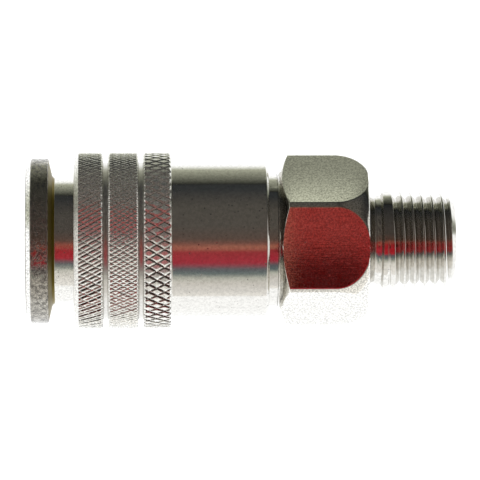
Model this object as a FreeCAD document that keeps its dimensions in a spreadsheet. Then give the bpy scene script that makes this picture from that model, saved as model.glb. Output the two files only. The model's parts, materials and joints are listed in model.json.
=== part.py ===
"""Quick disconnect coupler for compressed air, female half, with a 1/4-18 taper pipe thread.

The coupler is turned about one axis. The frame has its origin at the centre of the mouth, where the plug
goes in; +X runs along the axis to the pipe thread and +Z is up. All lengths are millimetres.

Every turned piece is drawn as a half outline (radius, height) in its own frame, height along local +Z, and
revolved. Its Placement then lays local +Z along +X, so a height there is a distance from the mouth.

The coupler is drawn with no plug in it: the balls hold the sleeve back and the valve is shut.
"""
import FreeCAD, Part
import math
import os

import Sketcher

# Driving dimensions: name, value, what it is.
DIMENSIONS = [
    # Socket body, outside
    ("flange_radius", 11.5, "front flange"),
    ("flange_length", 3.7, "front flange, mouth face to the foot of its back"),
    ("flange_chamfer", 0.8, "front edge of the flange"),
    ("flange_dish", 0.55, "how far the back of the flange slopes towards the neck"),
    ("neck_radius", 8.8, "neck that the sleeve's lip slides on"),
    ("neck_fillet", 0.35, "foot of the neck"),
    ("neck_end", 14.75, "shoulder that stops the spring washer"),
    ("barrel_radius", 8.3, "barrel under the sleeve spring"),
    ("barrel_end", 29.8, "shoulder against the adapter"),
    ("tail_radius", 7.5, "threaded tail in the adapter"),
    ("tail_end", 33.6, "end of the tail"),
    # Socket body, inside
    ("mouth_bore_radius", 6.3, "lead-in bore for the plug"),
    ("mouth_chamfer", 0.9, "chamfer at the mouth"),
    ("mouth_bore_end", 8.0, "end of the lead-in bore"),
    ("guide_bore_radius", 6.0, "bore for the plug's nose and the valve head"),
    ("guide_bore_end", 25.0, "shoulder for the valve seat ring"),
    ("seat_bore_radius", 6.4, "counterbore for the seat ring"),
    ("snap_groove_radius", 6.8, "groove for the retaining ring"),
    # Locking balls
    ("ball_count", 4, "balls round the neck"),
    ("ball_radius", 1.75, "locking ball"),
    ("ball_plane", 12.0, "distance of the balls from the mouth"),
    ("ball_rest_radius", 7.75, "ball centre from the axis, flush with the guide bore"),
    ("ball_hole_radius", 1.8, "hole through the neck"),
    ("ball_lip_radius", 1.7, "narrow inner end of the hole that stops the ball"),
    ("ball_lip_height", 6.45, "distance of the lip's top from the axis"),
    # Locking sleeve
    ("sleeve_start", 6.72, "front of the sleeve"),
    ("sleeve_end", 33.75, "back of the sleeve"),
    ("sleeve_stroke", 2.9, "forward travel when a plug locks"),
    ("ball_drop", 0.85, "inward travel of the balls meanwhile"),
    ("slide_gap", 0.08, "radial clearance of sliding fits"),
    ("front_face_radius", 11.6, "outer edge of the front face, where the chamfer up to the knurl starts"),
    ("lip_chamfer", 0.25, "inner edge of the front lip"),
    ("lip_end", 8.35, "front wall of the ball pocket"),
    ("knurl_radius", 12.25, "crest of the knurled bands"),
    ("grip_radius", 10.9, "smooth part of the sleeve and floor of its grooves"),
    ("band_chamfer", 0.18, "edges of the knurled bands"),
    ("front_band_start", 7.37, "first knurled band"),
    ("front_band_end", 10.5, "first knurled band"),
    ("middle_band_start", 11.6, "second knurled band"),
    ("middle_band_end", 15.42, "second knurled band"),
    ("back_band_start", 16.5, "third knurled band"),
    ("back_band_end", 20.1, "third knurled band"),
    ("sleeve_back_chamfer", 0.35, "back edge of the sleeve"),
    ("pocket_radius", 9.75, "pocket that the balls stand in at rest"),
    ("ramp_start", 11.43, "wide end of the cam ramp"),
    ("land_end", 18.0, "end of the locking land"),
    ("spring_bore_radius", 9.48, "bore round the sleeve spring"),
    # Sleeve spring and its washers
    ("washer_inner_radius", 8.4, "both washers"),
    ("washer_outer_radius", 9.4, "both washers"),
    ("washer_thickness", 0.8, "both washers"),
    ("washer_gap", 0.03, "front washer behind the land"),
    ("sleeve_wire_radius", 0.4, "sleeve spring wire"),
    ("sleeve_coil_radius", 8.95, "sleeve spring, middle of the wire"),
    ("sleeve_spring_pitch", 1.72, "sleeve spring"),
    # Valve seat ring, its seal and its retaining ring
    ("seat_ring_end", 27.6, "back face of the seat ring"),
    ("seat_ring_bore", 4.7, "guide for the valve tube"),
    ("seat_cone_radius", 5.5, "wide end of the conical seat"),
    ("seat_groove_start", 25.85, "groove for the seat ring's seal"),
    ("seat_groove_end", 26.85, "groove for the seat ring's seal"),
    ("seat_groove_floor", 5.6, "groove for the seat ring's seal"),
    ("snap_start", 27.65, "retaining ring"),
    ("snap_thickness", 0.8, "retaining ring and its groove"),
    ("snap_inner_radius", 5.9, "retaining ring"),
    ("snap_arc", 342.0, "degrees of the retaining ring's arc"),
    ("snap_play", 0.05, "play of the retaining ring in its groove"),
    # Valve
    ("valve_face", 11.25, "front face of the valve head"),
    ("valve_head_radius", 5.9, "valve head in the guide bore"),
    ("valve_head_chamfer", 0.35, "front edge of the valve head"),
    ("valve_head_end", 16.5, "back of the valve head"),
    ("valve_tube_radius", 4.6, "outside of the valve tube"),
    ("valve_bore_radius", 3.4, "air way through the valve"),
    ("valve_bore_end", 27.7, "blind end of the air way"),
    ("face_seal_inner", 3.65, "seal in the valve's face"),
    ("face_seal_outer", 5.1, "seal in the valve's face"),
    ("face_seal_depth", 1.4, "seal in the valve's face"),
    ("face_seal_proud", 0.15, "seal ahead of the valve's face"),
    ("head_groove_start", 14.2, "groove for the head's ring"),
    ("head_groove_end", 15.3, "groove for the head's ring"),
    ("head_groove_floor", 5.0, "groove for the head's ring"),
    ("port_count", 4, "air ports in the valve tube"),
    ("port_radius", 1.15, "air port"),
    ("port_plane", 26.2, "distance of the ports from the mouth"),
    ("valve_tube_end", 28.8, "shoulder under the cap"),
    ("stud_radius", 2.5, "stud that carries the cap"),
    ("cap_radius", 5.5, "valve cap"),
    ("cap_end", 31.0, "back of the valve cap"),
    ("cap_chamfer", 0.7, "back edge of the valve cap"),
    ("cap_slot_width", 1.2, "screwdriver slot of the cap"),
    ("cap_slot_depth", 0.8, "screwdriver slot of the cap"),
    ("valve_wire_radius", 0.3, "valve spring wire"),
    ("valve_coil_radius", 5.3, "valve spring, middle of the wire"),
    ("valve_spring_pitch", 1.98, "valve spring"),
    # Rubber rings of round section: middle radius, half section, place
    ("head_ring_radius", 5.48, "ring on the valve head"),
    ("head_ring_section", 0.46, "ring on the valve head"),
    ("seat_ring_seal_radius", 6.0, "ring on the seat ring"),
    ("seat_ring_seal_section", 0.39, "ring on the seat ring"),
    ("cap_ring_radius", 5.22, "ring that shuts on the conical seat"),
    ("cap_ring_section", 0.6, "ring that shuts on the conical seat"),
    ("cap_ring_plane", 28.19, "ring that shuts on the conical seat"),
    # Adapter
    ("collar_radius", 9.4, "collar that the sleeve's back slides on"),
    ("collar_chamfer", 0.3, "front edge of the collar"),
    ("hex_start", 35.25, "front face of the hexagon"),
    ("hex_end", 47.55, "back edge of the hexagon"),
    ("hex_across_flats", 21.0, "spanner size"),
    ("hex_turned_radius", 11.95, "turned corners of the hexagon"),
    ("hex_face_radius", 9.94, "front face of the hexagon"),
    ("hex_chamfer_length", 1.25, "front chamfer of the hexagon"),
    ("hex_round_start", 43.0, "where the back of the hexagon begins to curve in"),
    ("hex_round_radius", 8.4, "curve at the back of the hexagon"),
    ("hex_edge_radius", 10.6, "end of that curve"),
    ("hex_roll", 5.75, "degrees that the hexagon is rolled about the axis"),
    ("boss_radius", 7.1, "foot of the boss behind the hexagon"),
    ("boss_start", 47.85, "boss behind the hexagon"),
    ("relief_start", 48.55, "plain neck before the thread"),
    ("relief_radius", 6.4, "plain neck before the thread"),
    ("thread_start", 49.45, "end of the plain neck"),
    ("thread_lead_in", 0.25, "chamfer at the big end of the thread"),
    ("thread_first_groove", 51.12, "middle of the thread groove where it begins"),
    ("thread_end", 59.85, "end face of the adapter"),
    ("thread_tip_radius", 6.625, "thread crest at the end face, as if it had no chamfer"),
    ("thread_taper", 0.03125, "growth of the radius for each millimetre, 1 in 16 on the diameter"),
    ("thread_tip_chamfer", 1.3, "chamfer at the end of the thread"),
    ("thread_pitch", 1.411, "18 threads to the inch"),
    ("thread_depth", 0.82, "thread groove"),
    ("thread_root_width", 0.33, "floor of the thread groove"),
    ("gasket_end", 34.4, "shoulder behind the gasket"),
    ("gasket_inner_radius", 6.45, "gasket"),
    ("gasket_outer_radius", 7.45, "gasket"),
    ("chamber_radius", 6.3, "chamber that the valve opens into"),
    ("chamber_end", 38.0, "chamber that the valve opens into"),
    ("port_bore_radius", 3.9, "air way through the thread"),
    ("port_bore_start", 39.6, "air way through the thread"),
    ("port_bore_chamfer", 0.5, "mouth of the air way"),
]

THREAD_FLANK = math.tan(math.radians(30.0))
THREAD_OVERCUT = 0.03
HEX_SIDES = 6


class Size:
    """A length with its value and the sheet formula that gives it, so a sketch can be drawn and then bound."""

    def __init__(self, value, text):
        self.value = float(value)
        self.text = text

    def _joined(self, sign, other, value):
        text = other.text if isinstance(other, Size) else repr(float(other))
        return Size(value, f"({self.text} {sign} {text})")

    def __add__(self, other):
        return self._joined("+", other, self.value + number(other))

    def __sub__(self, other):
        return self._joined("-", other, self.value - number(other))

    def __mul__(self, other):
        return self._joined("*", other, self.value * number(other))

    def __truediv__(self, other):
        return self._joined("/", other, self.value / number(other))


def number(size):
    return size.value if isinstance(size, Size) else float(size)


doc = FreeCAD.newDocument("QuickDisconnectCoupler")
sheet = doc.addObject("Spreadsheet::Sheet", "Sizes")
for row, (name, value, meaning) in enumerate(DIMENSIONS, start=1):
    sheet.set(f"A{row}", meaning)
    sheet.set(f"B{row}", str(value))
    sheet.setAlias(f"B{row}", name)
doc.recompute()

SIZE = {name: Size(value, f"Sizes.{name}") for name, value, meaning in DIMENSIONS}
ZERO = Size(0, "0")
ALONG_AXIS = FreeCAD.Rotation(FreeCAD.Vector(0, 0, 1), FreeCAD.Vector(1, 0, 0))
ORIGIN = FreeCAD.Vector(0, 0, 0)
pieces = []


# ---------------------------------------------------------------- helpers


def new_body(label, roll=0.0):
    """A body whose local +Z is laid along the coupler's axis, rolled about it by some degrees."""
    body = doc.addObject("PartDesign::Body", label)
    body.Label = label
    rolled = FreeCAD.Rotation(FreeCAD.Vector(1, 0, 0), roll)
    body.Placement = FreeCAD.Placement(ORIGIN, rolled.multiply(ALONG_AXIS))
    pieces.append(body)
    return body


def origin_feature(body, role):
    return next(f for f in body.Origin.OriginFeatures if f.Role == role)


def new_sketch(body, name, plane="XZ_Plane", lift=None):
    """A sketch on one of the body's own origin planes, lifted along the plane's normal."""
    sketch = body.newObject("Sketcher::SketchObject", name)
    sketch.AttachmentSupport = [(origin_feature(body, plane), "")]
    sketch.MapMode = "FlatFace"
    if lift is not None:
        sketch.setExpression("AttachmentOffset.Base.z", lift.text)
    return sketch


def constrain(sketch, kind, *place, size):
    index = sketch.addConstraint(Sketcher.Constraint(kind, *place, size.value))
    sketch.setExpression(f"Constraints[{index}]", size.text)


def fix_point(sketch, geometry, end, across, up):
    """Holds one end of a line or arc at (across, up) from the sketch's origin."""
    for kind, size, axis in (("DistanceX", across, -2), ("DistanceY", up, -1)):
        if size is ZERO:
            sketch.addConstraint(Sketcher.Constraint("PointOnObject", geometry, end, axis))
        else:
            constrain(sketch, kind, -1, 1, geometry, end, size=size)


def draw_outline(sketch, points):
    """A closed outline of (across, up) sizes, drawn anticlockwise. A third item is the radius of an arc
    that reaches that point from the one before, bulging outwards."""
    spots = [FreeCAD.Vector(across.value, up.value, 0) for across, up, *arc in points]
    count = len(points)
    for i in range(count):
        start = spots[i]
        stop = spots[(i + 1) % count]
        arc = points[(i + 1) % count][2:]
        if arc:
            sketch.addGeometry(bulging_arc(start, stop, arc[0].value), False)
            constrain(sketch, "Radius", i, size=arc[0])
        else:
            sketch.addGeometry(Part.LineSegment(start, stop), False)
    for i in range(count):
        sketch.addConstraint(Sketcher.Constraint("Coincident", i, 2, (i + 1) % count, 1))
        fix_point(sketch, i, 1, points[i][0], points[i][1])


def bulging_arc(start, stop, radius):
    chord = stop.sub(start)
    inward = FreeCAD.Vector(-chord.y, chord.x, 0).normalize()
    depth = math.sqrt(radius**2 - (chord.Length / 2) ** 2)
    centre = start.add(chord.multiply(0.5)).add(inward.multiply(depth))
    spans = [math.atan2(p.y - centre.y, p.x - centre.x) for p in (start, stop)]
    return Part.ArcOfCircle(Part.Circle(centre, FreeCAD.Vector(0, 0, 1), radius), *spans)


def draw_circle(sketch, across, up, radius):
    centre = FreeCAD.Vector(across.value, up.value, 0)
    index = sketch.addGeometry(Part.Circle(centre, FreeCAD.Vector(0, 0, 1), radius.value), False)
    constrain(sketch, "Radius", index, size=radius)
    fix_point(sketch, index, 3, across, up)
    return index


def turned(body, points, degrees=None):
    """Revolves a half outline about the axis, all the way round or through the degrees given."""
    sketch = new_sketch(body, body.Label + "_outline")
    draw_outline(sketch, points)
    solid = body.newObject("PartDesign::Revolution", body.Label + "_turned")
    solid.Profile = sketch
    solid.ReferenceAxis = (sketch, ["V_Axis"])
    solid.Angle = 360.0
    if degrees is not None:
        solid.setExpression("Angle", degrees.text)
    return solid


def radial_holes(body, name, plane, steps, count):
    """A ring of stepped holes across the axis. Each step has a radius and the heights where it starts and ends."""
    cuts = []
    for step, (radius, start, end) in enumerate(steps):
        sketch = new_sketch(body, f"{name}_{step}", "YZ_Plane", lift=start)
        draw_circle(sketch, ZERO, plane, radius)
        cut = body.newObject("PartDesign::Pocket", f"{name}_cut_{step}")
        cut.Profile = sketch
        cut.Reversed = True
        cut.setExpression("Length", (end - start).text)
        cuts.append(cut)
    ring = body.newObject("PartDesign::PolarPattern", name + "_ring")
    ring.Originals = cuts
    ring.Axis = (origin_feature(body, "Z_Axis"), [""])
    ring.Angle = 360.0
    ring.setExpression("Occurrences", count.text)
    body.Tip = ring


def rubber_ring(label, radius, section, place):
    """A ring of round section about the axis."""
    ring = doc.addObject("Part::Torus", label)
    ring.Label = label
    ring.setExpression("Radius1", radius.text)
    ring.setExpression("Radius2", section.text)
    ring.Placement = FreeCAD.Placement(ORIGIN, ALONG_AXIS)
    ring.setExpression("Placement.Base.x", place.text)
    pieces.append(ring)


def flat_ring(label, inner, outer, start, end):
    turned(new_body(label), [(outer, start), (outer, end), (inner, end), (inner, start)])


def coil_spring(label, coil_radius, wire_radius, pitch, start, end):
    """A compression spring between two faces across the axis."""
    body = new_body(label)
    sketch = new_sketch(body, label + "_wire")
    draw_circle(sketch, coil_radius, start + wire_radius, wire_radius)
    coil = body.newObject("PartDesign::AdditiveHelix", label + "_coil")
    coil.Profile = sketch
    coil.ReferenceAxis = (sketch, ["V_Axis"])
    coil.Mode = "pitch-height-angle"
    coil.setExpression("Pitch", pitch.text)
    coil.setExpression("Height", (end - start - wire_radius * 2).text)


# ---------------------------------------------------------------- pieces fixed to the socket body


def make_socket_body(s):
    body = new_body("socket_body")
    snap_end = s["snap_start"] + s["snap_thickness"]
    bore_step = s["mouth_bore_radius"] - s["guide_bore_radius"]
    turned(
        body,
        [
            (s["mouth_bore_radius"] + s["mouth_chamfer"], ZERO),
            (s["flange_radius"] - s["flange_chamfer"], ZERO),
            (s["flange_radius"], s["flange_chamfer"]),
            (s["flange_radius"], s["flange_length"] - s["flange_dish"]),
            (s["neck_radius"] + s["neck_fillet"], s["flange_length"]),
            (s["neck_radius"], s["flange_length"] + s["neck_fillet"]),
            (s["neck_radius"], s["neck_end"]),
            (s["barrel_radius"], s["neck_end"]),
            (s["barrel_radius"], s["barrel_end"]),
            (s["tail_radius"], s["barrel_end"]),
            (s["tail_radius"], s["tail_end"]),
            (s["seat_bore_radius"], s["tail_end"]),
            (s["seat_bore_radius"], snap_end),
            (s["snap_groove_radius"], snap_end),
            (s["snap_groove_radius"], s["snap_start"]),
            (s["seat_bore_radius"], s["snap_start"]),
            (s["seat_bore_radius"], s["guide_bore_end"]),
            (s["guide_bore_radius"], s["guide_bore_end"]),
            (s["guide_bore_radius"], s["mouth_bore_end"] + bore_step),
            (s["mouth_bore_radius"], s["mouth_bore_end"]),
            (s["mouth_bore_radius"], s["mouth_chamfer"]),
        ],
    )
    narrow = (s["ball_lip_radius"], s["ball_radius"], s["ball_lip_height"])
    wide = (s["ball_hole_radius"], s["ball_lip_height"], s["flange_radius"])
    radial_holes(body, "ball_hole", s["ball_plane"], [narrow, wide], s["ball_count"])


def make_valve_seat(s):
    turned(
        new_body("valve_seat_ring"),
        [
            (s["seat_bore_radius"], s["guide_bore_end"]),
            (s["seat_bore_radius"], s["seat_groove_start"]),
            (s["seat_groove_floor"], s["seat_groove_start"]),
            (s["seat_groove_floor"], s["seat_groove_end"]),
            (s["seat_bore_radius"], s["seat_groove_end"]),
            (s["seat_bore_radius"], s["seat_ring_end"]),
            (s["seat_cone_radius"], s["seat_ring_end"]),
            (s["seat_ring_bore"], s["seat_ring_end"] + s["seat_ring_bore"] - s["seat_cone_radius"]),
            (s["seat_ring_bore"], s["guide_bore_end"]),
        ],
    )
    middle = (s["seat_groove_start"] + s["seat_groove_end"]) / 2
    rubber_ring("seat_ring_seal", s["seat_ring_seal_radius"], s["seat_ring_seal_section"], middle)
    turned(
        new_body("seat_retaining_ring"),
        [
            (s["snap_groove_radius"] - s["snap_play"], s["snap_start"]),
            (s["snap_groove_radius"] - s["snap_play"], s["snap_start"] + s["snap_thickness"] - s["snap_play"]),
            (s["snap_inner_radius"], s["snap_start"] + s["snap_thickness"] - s["snap_play"]),
            (s["snap_inner_radius"], s["snap_start"]),
        ],
        degrees=s["snap_arc"],
    )


def make_thread_adapter(s):
    body = new_body("thread_adapter", roll=s["hex_roll"].value)
    tip_radius = s["thread_tip_radius"] + s["thread_taper"] * s["thread_tip_chamfer"]
    foot = s["thread_start"] + s["thread_lead_in"]
    foot_radius = s["thread_tip_radius"] + s["thread_taper"] * (s["thread_end"] - foot)
    turned(
        body,
        [
            (s["tail_radius"], s["barrel_end"]),
            (s["collar_radius"] - s["collar_chamfer"], s["barrel_end"]),
            (s["collar_radius"], s["barrel_end"] + s["collar_chamfer"]),
            (s["collar_radius"], s["hex_start"]),
            (s["hex_face_radius"], s["hex_start"]),
            (s["hex_turned_radius"], s["hex_start"] + s["hex_chamfer_length"]),
            (s["hex_turned_radius"], s["hex_round_start"]),
            (s["hex_edge_radius"], s["hex_end"], s["hex_round_radius"]),
            (s["boss_radius"], s["boss_start"]),
            (s["relief_radius"], s["relief_start"]),
            (s["relief_radius"], s["thread_start"]),
            (foot_radius, foot),
            (tip_radius, s["thread_end"] - s["thread_tip_chamfer"]),
            (tip_radius - s["thread_tip_chamfer"], s["thread_end"]),
            (s["port_bore_radius"] + s["port_bore_chamfer"], s["thread_end"]),
            (s["port_bore_radius"], s["thread_end"] - s["port_bore_chamfer"]),
            (s["port_bore_radius"], s["port_bore_start"]),
            (s["chamber_radius"], s["chamber_end"]),
            (s["chamber_radius"], s["gasket_end"]),
            (s["tail_radius"], s["gasket_end"]),
        ],
    )
    mill_hexagon(body, s)
    cut_pipe_thread(body, s)


def mill_hexagon(body, s):
    """Six flats: everything outside the hexagon is cut away, which only the turned hexagon reaches."""
    sketch = new_sketch(body, "hexagon", "XY_Plane")
    corner = s["hex_across_flats"] / math.sqrt(3.0)
    corners = []
    for side in range(HEX_SIDES):
        angle = math.radians(360.0 * (side + 0.5) / HEX_SIDES)
        corners.append((corner * math.cos(angle), corner * math.sin(angle)))
    draw_outline(sketch, corners)
    draw_circle(sketch, ZERO, ZERO, s["hex_across_flats"])
    flats = body.newObject("PartDesign::Pocket", "flats")
    flats.Profile = sketch
    flats.Reversed = True
    flats.setExpression("Length", s["thread_end"].text)


def cut_pipe_thread(body, s):
    """The thread groove: one V section wound down the cone from the big end out past the tip."""
    sketch = new_sketch(body, "thread_groove")
    start = s["thread_first_groove"]
    surface = s["thread_tip_radius"] + s["thread_taper"] * (s["thread_end"] - start)
    root = surface - s["thread_depth"]
    crest = surface + THREAD_OVERCUT
    floor = s["thread_root_width"] / 2
    flank = floor + (crest - root) * THREAD_FLANK
    draw_outline(
        sketch,
        [(root, start - floor), (crest, start - flank), (crest, start + flank), (root, start + floor)],
    )
    groove = body.newObject("PartDesign::SubtractiveHelix", "thread")
    groove.Profile = sketch
    groove.ReferenceAxis = (sketch, ["V_Axis"])
    groove.Mode = "pitch-height-angle"
    groove.setExpression("Pitch", s["thread_pitch"].text)
    groove.setExpression("Height", (s["thread_end"] - start + s["thread_pitch"]).text)
    groove.Angle = -math.degrees(math.atan(s["thread_taper"].value))


# ---------------------------------------------------------------- sleeve, its spring and washers


def make_locking_sleeve(s):
    lip = s["neck_radius"] + s["slide_gap"]
    ramp_length = (s["pocket_radius"] - lip) * s["sleeve_stroke"] / s["ball_drop"]
    outside = [
        (lip + s["lip_chamfer"], s["sleeve_start"]),
        (s["front_face_radius"], s["sleeve_start"]),
        (s["knurl_radius"], s["front_band_start"]),
    ]
    for band in ("front", "middle", "back"):
        start, end = s[f"{band}_band_start"], s[f"{band}_band_end"]
        if band != "front":
            outside += [
                (s["grip_radius"], start),
                (s["knurl_radius"] - s["band_chamfer"], start),
                (s["knurl_radius"], start + s["band_chamfer"]),
            ]
        outside += [
            (s["knurl_radius"], end - s["band_chamfer"]),
            (s["knurl_radius"] - s["band_chamfer"], end),
            (s["grip_radius"], end),
        ]
    outside += [
        (s["grip_radius"], s["sleeve_end"] - s["sleeve_back_chamfer"]),
        (s["grip_radius"] - s["sleeve_back_chamfer"], s["sleeve_end"]),
    ]
    inside = [
        (s["spring_bore_radius"], s["sleeve_end"]),
        (s["spring_bore_radius"], s["land_end"]),
        (lip, s["land_end"]),
        (lip, s["ramp_start"] + ramp_length),
        (s["pocket_radius"], s["ramp_start"]),
        (s["pocket_radius"], s["lip_end"]),
        (lip, s["lip_end"]),
        (lip, s["sleeve_start"] + s["lip_chamfer"]),
    ]
    turned(new_body("locking_sleeve"), outside + inside)


def make_sleeve_spring(s):
    front = s["land_end"] + s["washer_gap"]
    front_end = front + s["washer_thickness"]
    back = s["barrel_end"] - s["washer_thickness"]
    flat_ring("spring_front_washer", s["washer_inner_radius"], s["washer_outer_radius"], front, front_end)
    flat_ring("spring_back_washer", s["washer_inner_radius"], s["washer_outer_radius"], back, s["barrel_end"])
    coil_spring(
        "sleeve_spring", s["sleeve_coil_radius"], s["sleeve_wire_radius"], s["sleeve_spring_pitch"], front_end, back
    )


def make_locking_balls(s):
    count = int(s["ball_count"].value)
    for index in range(count):
        ball = doc.addObject("Part::Sphere", f"locking_ball_{index + 1}")
        ball.Label = f"locking_ball_{index + 1}"
        turn = 2.0 * math.pi * index / count
        ball.setExpression("Radius", s["ball_radius"].text)
        ball.setExpression("Placement.Base.x", s["ball_plane"].text)
        ball.setExpression("Placement.Base.y", (s["ball_rest_radius"] * math.sin(turn)).text)
        ball.setExpression("Placement.Base.z", (s["ball_rest_radius"] * math.cos(turn)).text)
        pieces.append(ball)


# ---------------------------------------------------------------- valve


def make_valve_tube(s):
    body = new_body("valve_tube")
    seal_floor = s["valve_face"] + s["face_seal_depth"]
    turned(
        body,
        [
            (s["valve_bore_radius"], s["valve_face"]),
            (s["face_seal_inner"], s["valve_face"]),
            (s["face_seal_inner"], seal_floor),
            (s["face_seal_outer"], seal_floor),
            (s["face_seal_outer"], s["valve_face"]),
            (s["valve_head_radius"] - s["valve_head_chamfer"], s["valve_face"]),
            (s["valve_head_radius"], s["valve_face"] + s["valve_head_chamfer"]),
            (s["valve_head_radius"], s["head_groove_start"]),
            (s["head_groove_floor"], s["head_groove_start"]),
            (s["head_groove_floor"], s["head_groove_end"]),
            (s["valve_head_radius"], s["head_groove_end"]),
            (s["valve_head_radius"], s["valve_head_end"]),
            (s["valve_tube_radius"], s["valve_head_end"]),
            (s["valve_tube_radius"], s["valve_tube_end"]),
            (s["stud_radius"], s["valve_tube_end"]),
            (s["stud_radius"], s["cap_end"] - s["cap_slot_depth"]),
            (ZERO, s["cap_end"] - s["cap_slot_depth"]),
            (ZERO, s["valve_bore_end"]),
            (s["valve_bore_radius"], s["valve_bore_end"]),
        ],
    )
    port = (s["port_radius"], s["valve_bore_radius"] / 2, s["valve_head_radius"])
    radial_holes(body, "port", s["port_plane"], [port], s["port_count"])


def make_valve_trim(s):
    flat_ring(
        "valve_face_seal",
        s["face_seal_inner"],
        s["face_seal_outer"],
        s["valve_face"] - s["face_seal_proud"],
        s["valve_face"] + s["face_seal_depth"],
    )
    head_ring = (s["head_groove_start"] + s["head_groove_end"]) / 2
    rubber_ring("valve_head_ring", s["head_ring_radius"], s["head_ring_section"], head_ring)
    rubber_ring("valve_shut_ring", s["cap_ring_radius"], s["cap_ring_section"], s["cap_ring_plane"])
    body = new_body("valve_cap")
    turned(
        body,
        [
            (s["cap_radius"], s["valve_tube_end"]),
            (s["cap_radius"], s["cap_end"] - s["cap_chamfer"]),
            (s["cap_radius"] - s["cap_chamfer"], s["cap_end"]),
            (s["stud_radius"], s["cap_end"]),
            (s["stud_radius"], s["valve_tube_end"]),
        ],
    )
    cut_cap_slot(body, s)


def cut_cap_slot(body, s):
    """A screwdriver slot across the back of the cap."""
    sketch = new_sketch(body, "cap_slot", "XY_Plane", lift=s["cap_end"] - s["cap_slot_depth"])
    half = s["cap_slot_width"] / 2
    reach = s["cap_radius"] + s["cap_slot_width"]
    draw_outline(sketch, [(reach, half), (reach * -1, half), (reach * -1, half * -1), (reach, half * -1)])
    slot = body.newObject("PartDesign::Pocket", "cap_slot_cut")
    slot.Profile = sketch
    slot.Reversed = True
    slot.setExpression("Length", (s["cap_slot_depth"] * 2).text)


def make_valve_spring(s):
    coil_spring(
        "valve_spring",
        s["valve_coil_radius"],
        s["valve_wire_radius"],
        s["valve_spring_pitch"],
        s["valve_head_end"],
        s["guide_bore_end"],
    )


# ---------------------------------------------------------------- build, check, write

make_socket_body(SIZE)
make_valve_seat(SIZE)
flat_ring(
    "body_gasket", SIZE["gasket_inner_radius"], SIZE["gasket_outer_radius"], SIZE["tail_end"], SIZE["gasket_end"]
)
make_thread_adapter(SIZE)
make_locking_sleeve(SIZE)
make_sleeve_spring(SIZE)
make_locking_balls(SIZE)
make_valve_tube(SIZE)
make_valve_trim(SIZE)
make_valve_spring(SIZE)
doc.recompute()

for item in doc.Objects:
    if {"Invalid", "Error"} & set(item.State):
        raise RuntimeError(f"{item.Label} failed: {item.State}")
for piece in pieces:
    if piece.Shape.isNull() or not piece.Shape.isValid() or len(piece.Shape.Solids) != 1:
        raise RuntimeError(f"{piece.Label} is not one valid solid")

os.makedirs("parts", exist_ok=True)
for piece in pieces:
    piece.Shape.exportStep(f"parts/{piece.Label}.step")
    print(f"{piece.Label}: {piece.Shape.Volume:.1f} mm3")
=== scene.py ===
import json
import math
import random

import bmesh
import bpy
import numpy as np
from mathutils import Matrix, Vector


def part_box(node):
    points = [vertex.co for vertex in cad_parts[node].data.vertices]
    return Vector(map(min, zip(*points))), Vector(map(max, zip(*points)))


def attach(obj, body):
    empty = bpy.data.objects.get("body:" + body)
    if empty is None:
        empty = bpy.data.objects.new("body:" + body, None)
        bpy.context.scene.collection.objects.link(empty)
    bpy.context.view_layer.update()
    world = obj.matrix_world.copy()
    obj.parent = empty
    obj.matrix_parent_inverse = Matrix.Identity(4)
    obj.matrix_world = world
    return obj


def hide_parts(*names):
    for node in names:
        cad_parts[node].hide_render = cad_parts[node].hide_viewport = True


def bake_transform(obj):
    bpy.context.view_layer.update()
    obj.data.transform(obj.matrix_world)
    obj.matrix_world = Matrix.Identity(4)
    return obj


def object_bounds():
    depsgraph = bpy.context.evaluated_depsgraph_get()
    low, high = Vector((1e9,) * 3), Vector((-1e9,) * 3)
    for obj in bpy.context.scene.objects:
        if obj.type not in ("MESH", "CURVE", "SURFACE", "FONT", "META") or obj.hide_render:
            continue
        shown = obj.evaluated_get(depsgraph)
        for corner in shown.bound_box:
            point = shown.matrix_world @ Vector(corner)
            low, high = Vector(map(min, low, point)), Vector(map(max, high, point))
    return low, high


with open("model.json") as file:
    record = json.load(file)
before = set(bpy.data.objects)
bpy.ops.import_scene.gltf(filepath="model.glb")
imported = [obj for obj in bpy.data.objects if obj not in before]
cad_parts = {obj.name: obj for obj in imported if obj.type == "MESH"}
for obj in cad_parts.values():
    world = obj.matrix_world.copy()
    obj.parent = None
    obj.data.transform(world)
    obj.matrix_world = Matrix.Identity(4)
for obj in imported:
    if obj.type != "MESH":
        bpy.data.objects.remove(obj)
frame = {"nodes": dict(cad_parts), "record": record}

MM = 0.001
FULL_TURN = 2 * math.pi
CAD_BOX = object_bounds()


def span(node):
    """Where a CAD node starts and ends along the axis."""
    low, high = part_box(node)
    return low.x / MM, high.x / MM


def radius_of(node):
    _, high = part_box(node)
    return high.z / MM


# -------------------------------- places that the looks share

MOUTH, BODY_END = span("socket_body")
SLEEVE_START, SLEEVE_END = span("locking_sleeve")
ADAPTER_START, ADAPTER_END = span("thread_adapter")

FLANGE_END = MOUTH + 3.7
FLANGE_BEVEL_START = FLANGE_END - 0.5
RIM_START = 0.75
NECK_SEEN_FROM = FLANGE_END + 0.5
NECK_SEEN_TO = 7.0
BEFORE_MOUTH = -1.0

KNURL_RADIUS = radius_of("locking_sleeve")
GRIP_RADIUS = 10.9
PLAIN_GROOVES = (SLEEVE_START + 4.0, SLEEVE_START + 9.7)

HEX_START = ADAPTER_START + 5.45
HEX_END = HEX_START + 12.3
HEX_FACE_RADIUS = 9.94
HEX_CHAMFER = 1.25
HEX_TURNED_RADIUS = 11.95
HEX_CHAMFER_RISE = (HEX_TURNED_RADIUS - HEX_FACE_RADIUS) / HEX_CHAMFER


# -------------------------------- mesh helpers


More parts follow.
